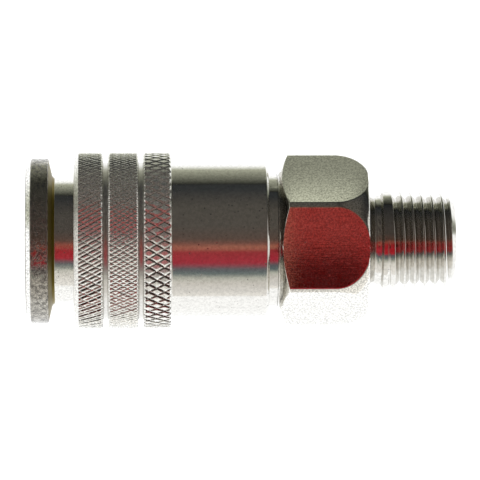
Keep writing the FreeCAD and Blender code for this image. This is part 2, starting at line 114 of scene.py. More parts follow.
class Skin:
    """A closed surface about the axis, made of rings of points that are joined one to the next."""

    def __init__(self):
        self.points = []
        self.faces = []

    def ring(self, x, radius, angles):
        """A ring of points; x and radius are one number, or one for each angle."""
        first = len(self.points)
        xs = np.broadcast_to(x, angles.shape)
        radii = np.broadcast_to(radius, angles.shape)
        ys = -radii * np.sin(angles)
        zs = radii * np.cos(angles)
        self.points += [(a * MM, b * MM, c * MM) for a, b, c in zip(xs, ys, zs)]
        return list(range(first, first + len(angles)))

    def rings(self, profile, angles):
        return [self.ring(x, radius, angles) for x, radius in profile]

    def join(self, rings):
        """Faces between each ring and the next one, which has as many points."""
        for here, there in zip(rings, rings[1:]):
            for i in range(len(here)):
                k = (i + 1) % len(here)
                self.faces.append((here[i], here[k], there[k], there[i]))

    def zip_up(self, here, angles_here, there, angles_there):
        """Triangles between two rings that have their points at different angles."""
        i = j = 0
        while i < len(here) or j < len(there):
            next_here = angles_here[i + 1] if i + 1 < len(here) else angles_here[0] + FULL_TURN
            next_there = angles_there[j + 1] if j + 1 < len(there) else angles_there[0] + FULL_TURN
            a, b = here[i % len(here)], there[j % len(there)]
            if j >= len(there) or (i < len(here) and next_here <= next_there):
                self.faces.append((a, here[(i + 1) % len(here)], b))
                i += 1
            else:
                self.faces.append((a, there[(j + 1) % len(there)], b))
                j += 1

    def piece(self, name, body, material, slot, *nodes):
        mesh = bpy.data.meshes.new(name)
        mesh.from_pydata(self.points, [], self.faces)
        weld(mesh)
        return place(name, mesh, body, material, slot, *nodes)


WELD_DISTANCE = 0.0004 * MM


def weld(mesh):
    work = bmesh.new()
    work.from_mesh(mesh)
    bmesh.ops.remove_doubles(work, verts=work.verts, dist=WELD_DISTANCE)
    bmesh.ops.dissolve_degenerate(work, edges=work.edges, dist=WELD_DISTANCE)
    for face in work.faces:
        face.smooth = True
    work.to_mesh(mesh)
    work.free()


def mesh_of(name, work):
    """A mesh made of the work, which is used up."""
    mesh = bpy.data.meshes.new(name)
    work.to_mesh(mesh)
    work.free()
    return mesh


def linked(name, data):
    """An object with the data, put in the scene."""
    made = bpy.data.objects.new(name, data)
    bpy.context.scene.collection.objects.link(made)
    return made


def close_tube(work, loops):
    """Faces along a tube of loops of points, and a cap on each end."""
    count = len(loops[0])
    for here, there in zip(loops, loops[1:]):
        for i in range(count):
            k = (i + 1) % count
            work.faces.new((here[i], here[k], there[k], there[i]))
    work.faces.new(reversed(loops[0]))
    work.faces.new(loops[-1])


def place(name, mesh, body, material, slot, *nodes):
    """The mesh as a piece that stands for the CAD nodes named, and rides on the body if one is given."""
    piece = linked(name, mesh)
    mesh.materials.append(material)
    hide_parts(*nodes)
    if body:
        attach(piece, body)
    return piece


# A point keeps the long faces flat: it lies this far from each rounding, or at a share of a short edge.
# A rounding takes at most the last share of its edge.
SUPPORT = 0.03
SUPPORT_SHARE = 0.06
ROUNDING_SHARE = 0.42


def rounded(corners, fillet, steps=4):
    """A closed outline of (x, radius) points with its corners rounded. A third item is a corner's own
    fillet. A point close beside each rounding keeps the shading of the long faces flat."""
    outline = []
    count = len(corners)
    for i, (x, radius, *own) in enumerate(corners):
        here = np.array((x, radius), float)
        back = np.array(corners[i - 1][:2]) - here
        on = np.array(corners[(i + 1) % count][:2]) - here
        reach = [np.linalg.norm(back), np.linalg.norm(on)]
        back, on = back / reach[0], on / reach[1]
        half = math.acos(max(-1.0, min(1.0, float(back @ on)))) / 2
        size = own[0] if own else fillet
        cut = min(size / math.tan(half), ROUNDING_SHARE * min(reach))
        size = cut * math.tan(half)
        centre = here + (back + on) / np.linalg.norm(back + on) * size / math.sin(half)
        outline.append(here + back * (cut + min(SUPPORT, SUPPORT_SHARE * reach[0])))
        for step in range(steps + 1):
            share = step / steps
            aim = here + back * cut * (1 - share) + on * cut * share - centre
            outline.append(centre + aim / np.linalg.norm(aim) * size)
        outline.append(here + on * (cut + min(SUPPORT, SUPPORT_SHARE * reach[1])))
    return [(float(x), float(radius)) for x, radius in outline]


def soft_max(value, floor, blend):
    """The larger of the two, with the kink rounded over the blend's width."""
    near = np.maximum(blend - np.abs(value - floor), 0) / blend
    return np.maximum(value, floor) + near**2 * blend / 4


def even_angles(count):
    return np.arange(count) * FULL_TURN / count


def smooth_step(low, high, value):
    share = np.clip((value - low) / (high - low), 0, 1)
    return share * share * (3 - 2 * share)


# -------------------------------- node helpers


class Graph:
    """Builds a node tree: a socket among the inputs is linked, and anything else is set."""

    def __init__(self, owner):
        owner.use_nodes = True
        self.tree = owner.node_tree
        self.tree.nodes.clear()

    def node(self, kind, settings=None, **inputs):
        made = self.tree.nodes.new(kind)
        for key, value in (settings or {}).items():
            setattr(made, key, value)
        for key, value in inputs.items():
            socket = made.inputs[int(key[1:])] if key[0] == "_" else made.inputs[key.replace("_", " ")]
            if isinstance(value, bpy.types.NodeSocket):
                self.tree.links.new(value, socket)
            else:
                socket.default_value = value
        return made

    def where(self):
        """Where a point is on its own piece, in metres."""
        return self.node("ShaderNodeTexCoord").outputs["Object"]

    def parts(self, vector):
        return self.node("ShaderNodeSeparateXYZ", Vector=vector).outputs

    def math(self, operation, *values):
        inputs = {f"_{i}": value for i, value in enumerate(values)}
        return self.node("ShaderNodeMath", {"operation": operation}, **inputs).outputs[0]

    def times(self, first, second):
        return self.math("MULTIPLY", first, second)

    def add_times(self, value, share, start):
        """start plus a share of value."""
        return self.math("MULTIPLY_ADD", value, share, start)

    def inverse(self, mask):
        return self.math("SUBTRACT", 1.0, mask)

    def vector(self, operation, *values, result="Value"):
        inputs = {f"_{i}": value for i, value in enumerate(values)}
        return self.node("ShaderNodeVectorMath", {"operation": operation}, **inputs).outputs[result]

    def mix(self, share, first, second, kind="MIX"):
        made = self.node("ShaderNodeMix", {"data_type": "RGBA", "blend_type": kind}, _0=share)
        for index, value in ((6, first), (7, second)):
            if isinstance(value, bpy.types.NodeSocket):
                self.tree.links.new(value, made.inputs[index])
            else:
                made.inputs[index].default_value = (*value, 1.0)
        return made.outputs[2]

    def step(self, value, low, high):
        """0 below low, 1 above high, smooth between."""
        settings = {"interpolation_type": "SMOOTHSTEP"}
        return self.node("ShaderNodeMapRange", settings, _0=value, _1=low, _2=high).outputs[0]

    def noise(self, where, size, detail=2.0, rough=0.5):
        """Noise whose features are about size millimetres across."""
        scale = 1 / (size * MM)
        made = self.node("ShaderNodeTexNoise", Vector=where, Scale=scale, Detail=detail, Roughness=rough)
        return made.outputs["Fac"]

    def cells(self, where, size):
        settings = {"feature": "F1"}
        return self.node("ShaderNodeTexVoronoi", settings, Vector=where, Scale=1 / (size * MM))

    def stretched(self, where, along):
        """Coordinates squeezed along each axis, so that noise is drawn out there."""
        return self.node("ShaderNodeMapping", Vector=where, Scale=along).outputs[0]

    def bump(self, height, depth, normal=None):
        """Relief that is depth millimetres high where height is 1."""
        made = self.node("ShaderNodeBump", Height=height, Distance=depth * MM)
        if normal is not None:
            self.tree.links.new(normal, made.inputs["Normal"])
        return made.outputs["Normal"]


# -------------------------------- materials

NICKEL = (0.70, 0.685, 0.645)
NICKEL_DARK = (0.075, 0.07, 0.06)
# Darkens the mouth's front edge as grime, and the knurl's steep groove walls as painted shade.
GRIME_AND_SHADE = (0.12, 0.112, 0.098)
NICKEL_BRIGHT = (0.88, 0.865, 0.815)
NICKEL_DULL = (0.5, 0.48, 0.44)
# An olive tint on the upper half behind the flange, and faint on the hexagon's front chamfer.
OLIVE_TINT = (0.19, 0.145, 0.02)
ZONES = ("dull", "coarse", "olive_tinted", "grime_and_shade", "brushed", "rubbed")
COARSE_GAIN = 1.6
SWELL_GAIN = 2.0
BRUSH_GAIN = 4.0
WEAR_DEPTH = 0.01
WEAR_SHARE = 0.85
SCRATCH_SHARE = 0.35
CLOUD_SHARE = 0.07
METAL_CLOUD_SHARE = 0.16
RUBBER_BLACK = (0.016, 0.016, 0.017)
RUBBER_GREY = (0.04, 0.038, 0.036)

# How noise is squeezed along X, Y and Z, so that it is drawn out along the axis or across it.
ALONG_AXIS = (0.07, 1.0, 1.0)
ACROSS_AXIS = (1.0, 0.14, 0.3)
TURNED = (1.0, 0.05, 0.05)


def plated(name, roughness, grain, pits, zones):
    """Nickel plate. grain is the height of its fine orange peel and pits how much of it is pitted. zones
    gives, from the graph and the place, a mask from 0 to 1 for each kind of wear, tint and painted shade in
    ZONES."""
    material = bpy.data.materials.new(name)
    graph = Graph(material)
    where = graph.where()
    zone = {kind: 0.0 for kind in ZONES} | zones(graph, where)
    normal = plate_relief(graph, where, zone, grain)
    worn = plate_wear(graph, where, zone, pits)
    normal = graph.bump(graph.inverse(worn), WEAR_DEPTH, normal)

    cloud = graph.noise(where, size=2.6, detail=4.0, rough=0.6)
    rough = graph.add_times(cloud, CLOUD_SHARE, roughness - CLOUD_SHARE / 2)
    for wear, share in ((worn, 0.15), (zone["olive_tinted"], 0.3), (zone["rubbed"], 0.2)):
        rough = graph.add_times(wear, share, rough)
    tint = plate_tint(graph, where, zone, worn)
    shade(graph, Base_Color=tint, Metallic=1.0, Roughness=rough, Normal=normal)
    return material


def plate_relief(graph, where, zone, grain):
    """Orange peel, which is lumpy where the plate is coarse, and brushing along the axis."""
    lumps = graph.times(graph.noise(where, size=0.45, detail=5.0, rough=0.75), zone["coarse"])
    peel = graph.add_times(lumps, COARSE_GAIN, graph.noise(where, size=0.2, detail=3.0, rough=0.6))
    normal = graph.bump(peel, grain)
    normal = graph.bump(graph.noise(where, size=1.1, detail=2.0), grain * SWELL_GAIN, normal)
    lines = graph.noise(graph.stretched(where, ALONG_AXIS), size=0.22, detail=4.0, rough=0.7)
    return graph.bump(graph.times(lines, zone["brushed"]), grain * BRUSH_GAIN, normal)


def plate_wear(graph, where, zone, pits):
    """A mask of pits, of scratches across the axis, and of the crumbs that a dull surface holds."""
    cells = graph.cells(where, size=0.42)
    luck = graph.node("ShaderNodeSeparateColor", Color=cells.outputs["Color"]).outputs[0]
    chosen = graph.step(luck, 1 - pits, 1)
    pit = graph.times(graph.inverse(graph.step(cells.outputs["Distance"], 0.1, 0.3)), chosen)
    streaks = graph.noise(graph.stretched(where, ACROSS_AXIS), size=0.35, detail=5.0, rough=0.7)
    scratch = graph.step(streaks, 0.66, 0.7)
    scratch = graph.times(scratch, graph.step(graph.noise(where, size=4.0, detail=1.0), 0.5, 0.62))
    crumbs = graph.step(graph.noise(where, size=0.7, detail=6.0, rough=0.9), 0.5, 0.54)
    crumbs = graph.times(crumbs, zone["dull"])
    worn = graph.math("MAXIMUM", pit, graph.times(scratch, SCRATCH_SHARE))
    return graph.math("MAXIMUM", worn, crumbs)


def plate_tint(graph, where, zone, worn):
    """Mottled nickel with grains, wear, an olive tint, and grime and painted shade laid over it."""
    mottle = graph.step(graph.noise(where, size=0.45, detail=4.0, rough=0.7), 0.38, 0.66)
    tint = graph.mix(mottle, NICKEL, darker(NICKEL, 0.84))
    grains = graph.step(graph.noise(where, size=0.26, detail=4.0, rough=0.8), 0.4, 0.6)
    grains = graph.mix(grains, NICKEL_BRIGHT, darker(NICKEL_BRIGHT, 0.58))
    tint = graph.mix(graph.math("MINIMUM", zone["coarse"], 1.0), tint, grains)
    tint = graph.mix(zone["dull"], tint, NICKEL_DULL, "MULTIPLY")
    tint = graph.mix(zone["olive_tinted"], tint, OLIVE_TINT)
    tint = graph.mix(graph.times(worn, WEAR_SHARE), tint, NICKEL_DARK)
    # Grime on the mouth's front edge, and painted shade on the knurl's steep groove walls.
    return graph.mix(zone["grime_and_shade"], tint, GRIME_AND_SHADE)


def darker(colour, share):
    return tuple(part * share for part in colour)


def shade(graph, **inputs):
    """Puts the graph's shader on the surface."""
    shader = graph.node("ShaderNodeBsdfPrincipled", **inputs)
    graph.node("ShaderNodeOutputMaterial", Surface=shader.outputs[0])


def along_axis(graph, where):
    """Millimetres along the coupler's axis."""
    return graph.math("DIVIDE", graph.parts(where)["X"], MM)


def between(graph, x, low, high, soft):
    """1 from low to high, and 0 beyond a soft edge."""
    rise = graph.step(x, low - soft, low)
    return graph.times(rise, graph.inverse(graph.step(x, high, high + soft)))


def off_axis(graph, where):
    """Millimetres from the coupler's axis."""
    _, across, up = graph.parts(where)
    flat = graph.node("ShaderNodeCombineXYZ", Y=across, Z=up).outputs[0]
    return graph.math("DIVIDE", graph.vector("LENGTH", flat), MM)


def body_zones(graph, where):
    """The flange is coarse from knocks and its rim is dull. Its front edge carries grime, and behind it the
    upper half has an olive tint."""
    x = along_axis(graph, where)
    flange = between(graph, x, BEFORE_MOUTH, FLANGE_BEVEL_START, soft=0.1)
    rim = between(graph, x, RIM_START, FLANGE_BEVEL_START, soft=0.1)
    neck = between(graph, x, NECK_SEEN_FROM, NECK_SEEN_TO, soft=0.2)
    on_top = graph.step(graph.parts(where)["Z"], 0.5 * MM, 2.5 * MM)
    dull = graph.times(rim, 0.9)
    coarse = graph.add_times(neck, 0.35, flange)
    behind_flange = between(graph, x, FLANGE_BEVEL_START, FLANGE_END + 0.32, soft=0.06)
    olive_tinted = graph.times(behind_flange, on_top)
    grime_and_shade = graph.times(between(graph, x, BEFORE_MOUTH, 0.1, soft=0.08), 0.8)
    return {"dull": dull, "coarse": coarse, "olive_tinted": olive_tinted, "grime_and_shade": grime_and_shade}


def sleeve_zones(graph, where):
    """The tops of the knurl and the plain grooves between its bands are rubbed, and the steep walls of the
    knurl's own grooves are darkened with painted shade."""
    radius = off_axis(graph, where)
    bands = graph.step(radius, GRIP_RADIUS + 0.3, GRIP_RADIUS + 0.5)
    normal = graph.node("ShaderNodeNewGeometry").outputs["True Normal"]
    own = graph.node("ShaderNodeVectorTransform", {"vector_type": "NORMAL"}, Vector=normal).outputs[0]
    _, across, up = graph.parts(where)
    round_about = graph.node("ShaderNodeCombineXYZ", Y=graph.times(up, -1.0), Z=across).outputs[0]
    round_about = graph.vector("NORMALIZE", round_about, result=0)
    lean = graph.math("ABSOLUTE", graph.vector("DOT_PRODUCT", own, round_about))
    top = graph.times(bands, graph.inverse(graph.step(lean, 0.1, 0.3)))
    plain = graph.inverse(graph.step(radius, GRIP_RADIUS + 0.1, GRIP_RADIUS + 0.3))
    plain = graph.times(plain, between(graph, along_axis(graph, where), *PLAIN_GROOVES, soft=0.05))
    rubbed = graph.math("MAXIMUM", top, plain)
    rubbed = graph.math("MAXIMUM", rubbed, graph.times(bands, 0.5))
    # Painted shade: the steep walls of the knurl's grooves are darkened.
    grime_and_shade = graph.times(bands, graph.step(lean, 0.6, 0.7))
    return {"coarse": bands, "rubbed": rubbed, "grime_and_shade": grime_and_shade}


def adapter_zones(graph, where):
    """The hexagon's flats are brushed along the axis, and its front chamfer has a faint olive tint."""
    x = along_axis(graph, where)
    hexagon = between(graph, x, HEX_START, HEX_END, soft=0.1)
    cone = graph.math("SUBTRACT", x, HEX_START)
    cone = graph.add_times(cone, HEX_CHAMFER_RISE, HEX_FACE_RADIUS)
    off_cone = graph.math("ABSOLUTE", graph.math("SUBTRACT", off_axis(graph, where), cone))
    on_cone = graph.inverse(graph.step(off_cone, 0.03, 0.06))
    front = graph.times(between(graph, x, HEX_START + 0.06, HEX_START + 1.2, soft=0.05), 0.15)
    return {"coarse": hexagon, "olive_tinted": graph.times(on_cone, front), "brushed": hexagon}


def plain_metal(name, colour, roughness, grain):
    """Bare drawn, turned or ground metal with fine marks."""
    material = bpy.data.materials.new(name)
    graph = Graph(material)
    where = graph.where()
    rings = graph.noise(graph.stretched(where, TURNED), size=0.06, detail=3.0, rough=0.7)
    normal = graph.bump(rings, grain)
    normal = graph.bump(graph.noise(where, size=0.2, detail=2.0), grain, normal)
    cloud = graph.noise(where, size=1.2, detail=4.0, rough=0.65)
    rough = graph.add_times(cloud, METAL_CLOUD_SHARE, roughness - METAL_CLOUD_SHARE / 2)
    tint = graph.mix(graph.step(cloud, 0.3, 0.7), colour, darker(colour, 0.78))
    shade(graph, Base_Color=tint, Metallic=1.0, Roughness=rough, Normal=normal)
    return material


def rubber(name):
    material = bpy.data.materials.new(name)
    graph = Graph(material)
    where = graph.where()
    normal = graph.bump(graph.noise(where, size=0.12, detail=4.0, rough=0.7), 0.004)
    cloud = graph.noise(where, size=0.8, detail=4.0, rough=0.6)
    rough = graph.add_times(cloud, 0.2, 0.42)
    tint = graph.mix(graph.step(cloud, 0.35, 0.7), RUBBER_BLACK, RUBBER_GREY)
    shade(graph, Base_Color=tint, Roughness=rough, Normal=normal)
    return material


BODY_PLATE = plated("body_plate", roughness=0.1, grain=0.0025, pits=0.35, zones=body_zones)
SLEEVE_PLATE = plated("sleeve_plate", roughness=0.1, grain=0.0015, pits=0.15, zones=sleeve_zones)
ADAPTER_PLATE = plated("adapter_plate", roughness=0.065, grain=0.0012, pits=0.05, zones=adapter_zones)
SPRING_STEEL = plain_metal("spring_steel", (0.42, 0.41, 0.4), 0.3, 0.001)
BALL_STEEL = plain_metal("ball_steel", (0.7, 0.7, 0.71), 0.1, 0.0002)
BRASS = plain_metal("turned_brass", (0.72, 0.5, 0.22), 0.26, 0.001)
RUBBER = rubber("nitrile_rubber")

CAD_FINISH = {
    "plated_body": BODY_PLATE,
    "plated_sleeve": SLEEVE_PLATE,
    "plated_adapter": ADAPTER_PLATE,
    "spring_steel": SPRING_STEEL,
    "hard_steel": BALL_STEEL,
    "valve_brass": BRASS,
    "seal_rubber": RUBBER,
}


# -------------------------------- socket body

FLANGE_RADIUS = radius_of("socket_body")
NECK_RADIUS = 8.8
NECK_END = MOUTH + 14.75
BARREL_RADIUS = 8.3
BARREL_END = MOUTH + 29.8
SPIGOT_RADIUS = 7.5
MOUTH_EDGE_RADIUS = 7.2
MOUTH_BORE = 6.3
GUIDE_BORE = 6.0
SEAT_BORE = 6.4
SNAP_GROOVE = (MOUTH + 27.65, MOUTH + 28.45)
SNAP_GROOVE_RADIUS = 6.8
BODY_COLUMNS = 256


def make_socket_body():
    outline = rounded(
        [
            (MOUTH, MOUTH_EDGE_RADIUS),
            (MOUTH, 10.6, 0.5),
            (MOUTH + 0.8, FLANGE_RADIUS, 0.3),
            (FLANGE_END - 0.55, FLANGE_RADIUS, 0.12),
            (FLANGE_END, NECK_RADIUS + 0.35, 0.3),
            (FLANGE_END + 0.35, NECK_RADIUS, 0.3),
            (NECK_END, NECK_RADIUS),
            (NECK_END, BARREL_RADIUS),
            (BARREL_END, BARREL_RADIUS),
            (BARREL_END, SPIGOT_RADIUS),
            (BODY_END, SPIGOT_RADIUS),
            (BODY_END, SEAT_BORE),
            (SNAP_GROOVE[1], SEAT_BORE),
            (SNAP_GROOVE[1], SNAP_GROOVE_RADIUS),
            (SNAP_GROOVE[0], SNAP_GROOVE_RADIUS),
            (SNAP_GROOVE[0], SEAT_BORE),
            (MOUTH + 25.0, SEAT_BORE),
            (MOUTH + 25.0, GUIDE_BORE),
            (MOUTH + 8.3, GUIDE_BORE),
            (MOUTH + 8.0, MOUTH_BORE),
            (MOUTH + 0.9, MOUTH_BORE),
        ],
        fillet=0.06,
    )
    skin = Skin()
    rings = skin.rings(outline, even_angles(BODY_COLUMNS))
    skin.join(rings + rings[:1])
    body = skin.piece("socket_body_shell", "body", BODY_PLATE, "plated_body", "socket_body")
    for name in sorted(n for n in frame["nodes"] if n.startswith("locking_ball")):
        drill_ball_hole(body, name)
    return body


BALL_HOLE = [(1.7, 1.75), (1.7, 6.45), (1.8, 6.45), (1.8, 11.5)]
HOLE_SIDES = 48
SHARP_RIM = math.radians(50.0)


def drill_ball_hole(body, ball):
    """Cuts the stepped hole that a ball stands in. BALL_HOLE holds its (radius, height above the axis)."""
    low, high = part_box(ball)
    middle = (low + high) / 2
    outward = Vector((0, middle.y, middle.z)).normalized()
    turn = Vector((0, 0, 1)).rotation_difference(outward)
    work = bmesh.new()
    loops = []
    for radius, height in BALL_HOLE:
        loop = []
        for side in range(HOLE_SIDES):
            angle = FULL_TURN * side / HOLE_SIDES
            spot = Vector((radius * math.cos(angle), radius * math.sin(angle), height)) * MM
            spot.rotate(turn)
            loop.append(work.verts.new(spot + Vector((middle.x, 0, 0))))
        loops.append(loop)
    close_tube(work, loops)
    cutter = linked("hole", mesh_of("hole", work))
    cut = body.modifiers.new("hole", "BOOLEAN")
    cut.operation = "DIFFERENCE"
    cut.solver = "EXACT"
    cut.object = cutter
    shape = bpy.context.evaluated_depsgraph_get()
    drilled = bpy.data.meshes.new_from_object(body.evaluated_get(shape))
    drilled.set_sharp_from_angle(angle=SHARP_RIM)
    body.modifiers.clear()
    body.data = drilled
    bpy.data.objects.remove(cutter)


# -------------------------------- locking sleeve

SLEEVE_BORE = 8.88
BALL_POCKET_RADIUS = 9.75
SPRING_POCKET_RADIUS = 9.48
FRONT_FACE_RADIUS = 11.6
BANDS = {name: (SLEEVE_START + start, SLEEVE_START + end) for name, start, end in (
    ("front", 0.65, 4.03), ("middle", 4.77, 8.95), ("back", 9.66, 13.48))}
BAND_CHAMFER = 0.22
BAND_FILLET = 0.2

KNURL_LINES = 60
PLAIN_COLUMNS = 240
KNURL_ANGLE = math.radians(30.0)
CELLS_PER_LINE = 14
KNURL_PITCH = FULL_TURN * KNURL_RADIUS / KNURL_LINES
KNURL_LEAD = KNURL_PITCH / math.tan(KNURL_ANGLE)
KNURL_ROW = KNURL_LEAD / CELLS_PER_LINE
SHARP_GROOVE = math.radians(30.0)

# Each band's grooves: the way they lean (1 climbs to +Y towards the thread), lines for each knurl line,
# the cell where the first lies, depth, how much the depth differs from line to line, and the width in
# cells of the wall on the +Y side and on the -Y side of the groove.
KNURL_CUTS = {
    "front": [(1, 1, 0, 0.18, 0.15, 4, 1), (1, 1, 7, 0.135, 0.15, 3, 1), (-1, 1, 3, 0.135, 0.2, 3, 1)],
    "middle": [(1, 2, 1, 0.13, 0.15, 3, 1), (-1, 1, 8, 0.13, 0.15, 3, 1), (-1, 1, 1, 0.09, 0.2, 2, 1)],
    "back": [(-1, 1, 4, 0.2, 0.1, 4, 1), (1, 1, 11, 0.16, 0.15, 4, 1)],
}

# The step outside a groove's -Y wall, as a share of the groove's depth, and the least gap between rows.
GROOVE_LIP = 0.35
CLOSE_ROW = 0.04


def knurl_cut(band, row, count):
    """Depth of the knurl's grooves at each point of one row, and which way they lean there. The rows are
    counted on over all three bands, and the grooves cross one cell from row to row."""
    depth = np.zeros(count)
    lean = np.zeros(count)
    for direction, share, offset, deep, spread, upper, lower in KNURL_CUTS[band]:
        spacing = CELLS_PER_LINE // share
        cell = np.arange(count) + direction * row + offset
        number = np.round(cell / spacing).astype(int)
        across = cell - number * spacing
        luck = random.Random(f"{band}{direction}{offset}")
        depths = np.array([deep * (1 - spread * luck.random()) for _ in range(KNURL_LINES * share)])
        share_left = 1 - np.abs(across) / np.where(across < 0, upper, lower)
        lip = np.where(across > 0, GROOVE_LIP * (lower + 1 - across), 0)
        cut = depths[number % len(depths)] * np.maximum(share_left, np.minimum(lip, GROOVE_LIP))
        lean = np.where(cut > np.maximum(depth, 0), direction, lean)
        depth = np.maximum(depth, cut)
    return depth, lean


def make_locking_sleeve():
    corners = [
        (SLEEVE_START, SLEEVE_BORE + 0.25),
        (SLEEVE_START, FRONT_FACE_RADIUS, 0.08),
        (BANDS["front"][0], KNURL_RADIUS, 0.08),
    ]
    for name, (start, end) in BANDS.items():
        if name != "front":
            corners.append((start, GRIP_RADIUS, BAND_FILLET))
            corners.append((start, KNURL_RADIUS - BAND_CHAMFER))
            corners.append((start + BAND_CHAMFER, KNURL_RADIUS))
        corners += [
            (end - BAND_CHAMFER, KNURL_RADIUS),
            (end, KNURL_RADIUS - BAND_CHAMFER),
            (end, GRIP_RADIUS, 0.15 if name == "back" else BAND_FILLET),
        ]
    corners += [
        (SLEEVE_END - 0.35, GRIP_RADIUS, 0.2),
        (SLEEVE_END, GRIP_RADIUS - 0.35, 0.1),
        (SLEEVE_END, SPRING_POCKET_RADIUS),
        (SLEEVE_START + 11.28, SPRING_POCKET_RADIUS),
        (SLEEVE_START + 11.28, SLEEVE_BORE),
        (SLEEVE_START + 7.68, SLEEVE_BORE),
        (SLEEVE_START + 4.71, BALL_POCKET_RADIUS),
        (SLEEVE_START + 1.63, BALL_POCKET_RADIUS),
        (SLEEVE_START + 1.63, SLEEVE_BORE),
        (SLEEVE_START + 0.25, SLEEVE_BORE),
    ]
    outline = with_knurl_rows(rounded(corners, fillet=0.05, steps=2))
    fine, coarse = even_angles(KNURL_LINES * CELLS_PER_LINE), even_angles(PLAIN_COLUMNS)
    skin = Skin()
    rings, leans = [], []
    row, last = 0, (0, 0)
    for x, radius in outline:
        band = next((n for n, (a, b) in BANDS.items() if a - 0.01 <= x <= b + 0.01), None)
        if band and radius > GRIP_RADIUS + 0.3:
            if math.hypot(x - last[0], radius - last[1]) < CLOSE_ROW:
                continue
            row += 1
            cut, lean = knurl_cut(band, row, len(fine))
            rings.append(skin.ring(x, np.minimum(radius, KNURL_RADIUS - cut), fine))
            leans.append(lean)
        else:
            rings.append(skin.ring(x, radius, coarse))
            leans.append(None)
        last = (x, radius)
    join_along_grooves(skin, rings + rings[:1], leans + leans[:1])
    sleeve = skin.piece("locking_sleeve_shell", "sleeve", SLEEVE_PLATE, "plated_sleeve", "locking_sleeve")
    sleeve.data.set_sharp_from_angle(angle=SHARP_GROOVE)
    return sleeve


def with_knurl_rows(outline):
    """Adds rows across the top of each band, spaced so that a groove crosses one cell in each row."""
    full = []
    for here, there in zip(outline, outline[1:] + outline[:1]):
        full.append(here)
        on_top = here[1] > KNURL_RADIUS - 0.002 and there[1] > KNURL_RADIUS - 0.002
        if on_top and there[0] - here[0] > KNURL_ROW:
            rows = round((there[0] - here[0]) / KNURL_ROW)
            full += [(here[0] + (there[0] - here[0]) * k / rows, here[1]) for k in range(1, rows)]
    return full


def join_along_grooves(skin, rings, leans):
    """Faces between the rings. A square that a groove crosses is split along the groove. A ring without a
    lean is plain, and has fewer points."""
    for here, there, lean_here, lean_there in zip(rings, rings[1:], leans, leans[1:]):
        if lean_here is None and lean_there is None:
            skin.join([here, there])
            continue
        if lean_here is None or lean_there is None:
            skin.zip_up(here, even_angles(len(here)), there, even_angles(len(there)))
            continue
        count = len(here)
        lean = lean_here + np.roll(lean_here, -1) + lean_there + np.roll(lean_there, -1)
        for i in range(count):
            k = (i + 1) % count
            square = (here[i], here[k], there[k], there[i])
            if lean[i] > 0:
                skin.faces += [(square[0], square[1], square[3]), (square[1], square[2], square[3])]
            elif lean[i] < 0:
                skin.faces += [(square[0], square[1], square[2]), (square[0], square[2], square[3])]
            else:
                skin.faces.append(square)


# -------------------------------- thread adapter

COLLAR_RADIUS = 9.4
AIR_BORE = 3.9
VALVE_ROOM = 6.3
HEX_CHAMFER_END = HEX_START + HEX_CHAMFER
HEX_ROUND_START = HEX_START + 7.75
HEX_EDGE_RADIUS = 10.6
HEX_ROUND_RADIUS = 8.4
HEX_APOTHEM = 10.5
HEX_ROLL = math.radians(5.75)
HEX_SIDES = 6
HEX_BLEND = 0.04
BOSS_START, BOSS_RADIUS = HEX_END + 0.3, 7.1
RELIEF_START, RELIEF_RADIUS = HEX_END + 1.0, 6.4

THREAD_START = HEX_END + 1.9
THREAD_PITCH = 1.411
THREAD_DEPTH = 0.92
THREAD_ROOT = 0.12
THREAD_BLEND = 0.03
THREAD_TAPER = 1 / 32
TIP_RADIUS = 6.625
TIP_CHAMFER = 1.3
BIG_END_CHAMFER = 0.25
BIG_END_RISE = 0.53
FIRST_GROOVE = ADAPTER_END - 9.46
RUN_OUT_TURNS = 0.45
FLANK_SLOPE = math.tan(math.radians(60.0))
THREAD_COLUMNS = 192

# Rows across one pitch, on both sides of the groove's middle and then on the crest, as shares of the pitch.
THREAD_ROWS = (0.0, 0.03, 0.08, 0.2, 0.3, 0.34, 0.365, 0.39, 0.43)
CREST_ROWS = (0.47, 0.5)

# Turns of rows past each end of the thread, which are pressed flat onto that end.
SPARE_TURNS = 3

# Points of the hexagon's outline: along half a flat, and round a corner.
FLAT_STEPS = np.array([0.0, 0.12, 0.3, 0.5, 0.7, 0.86, 0.94, 0.975, 1.0])
CORNER_STEPS = np.array([0.08, 0.22, 0.4, 0.6, 0.78, 0.92])
CHAMFER_STEPS = 14
ROUND_STEPS = 24
BACK_STEPS = 6


def hex_ring(skin, x, radius):
    """A ring of the turned outline with the hexagon's flats milled into it."""
    half = math.acos(min(1.0, HEX_APOTHEM / radius))
    sector = FULL_TURN / HEX_SIDES
    flat = np.arctan(np.concatenate([-FLAT_STEPS[:0:-1], FLAT_STEPS]) * math.tan(half))
    corner = half + (sector - 2 * half) * CORNER_STEPS
    one_side = np.concatenate([flat, corner])
    angles = np.concatenate([HEX_ROLL + side * sector + one_side for side in range(HEX_SIDES)])
    nearest = (angles - HEX_ROLL + sector / 2) % sector - sector / 2
    milled = HEX_APOTHEM / np.cos(nearest)
    blend = HEX_BLEND * min(1.0, max(0.02, half / 0.3))
    return skin.ring(x, -soft_max(-milled, -radius, blend), angles), angles


